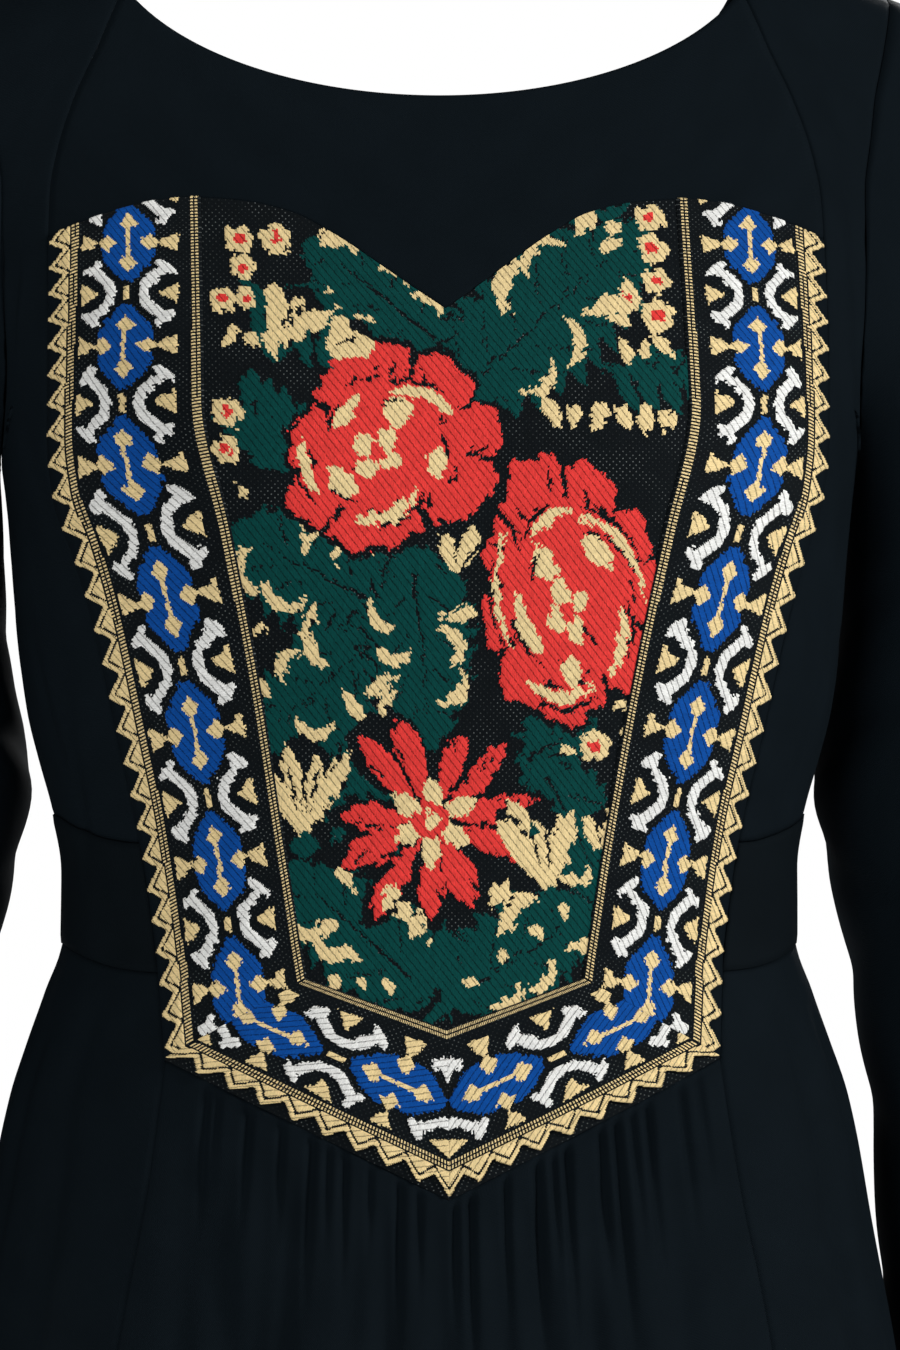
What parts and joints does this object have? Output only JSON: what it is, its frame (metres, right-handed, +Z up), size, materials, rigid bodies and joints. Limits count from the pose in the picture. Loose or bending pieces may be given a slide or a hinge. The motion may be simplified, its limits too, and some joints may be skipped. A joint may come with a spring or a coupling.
{
  "type": "romanian ie blouse",
  "caption": "Black long-sleeved folk blouse, hollow as worn, with a woven floral front panel in patterned ribbons, a waistband and a gathered skirt part.",
  "frame": {"origin": "midway between the shoulders, on the line where the neckline meets the shoulder seams", "axes": "+Z up towards the neckline, -Y out of the front, +X towards the side that is on the right in a front view"},
  "size_m": [0.57, 0.2718, 0.641],
  "materials": {
    "black_cloth": "matt twill",
    "belt_cloth": "matt satin weave",
    "woven_field": "raised figured weave",
    "woven_ribbon": "raised figured weave"
  },
  "bodies": {
    "root": {"front_yoke": "black_cloth", "front_panel": "woven_field", "ribbon_left": "woven_ribbon", "ribbon_right": "woven_ribbon", "ribbon_bottom_left": "woven_ribbon", "ribbon_bottom_right": "woven_ribbon", "side_front_left": "black_cloth", "side_front_right": "black_cloth", "back_left": "black_cloth", "back_right": "black_cloth", "belt_left": "belt_cloth", "belt_right": "belt_cloth", "skirt_front": "black_cloth", "skirt_side_left": "black_cloth", "skirt_side_right": "black_cloth", "skirt_back_left": "black_cloth", "skirt_back_right": "black_cloth", "sleeve_left": "black_cloth", "sleeve_right": "black_cloth"}
  },
  "joints": []
}
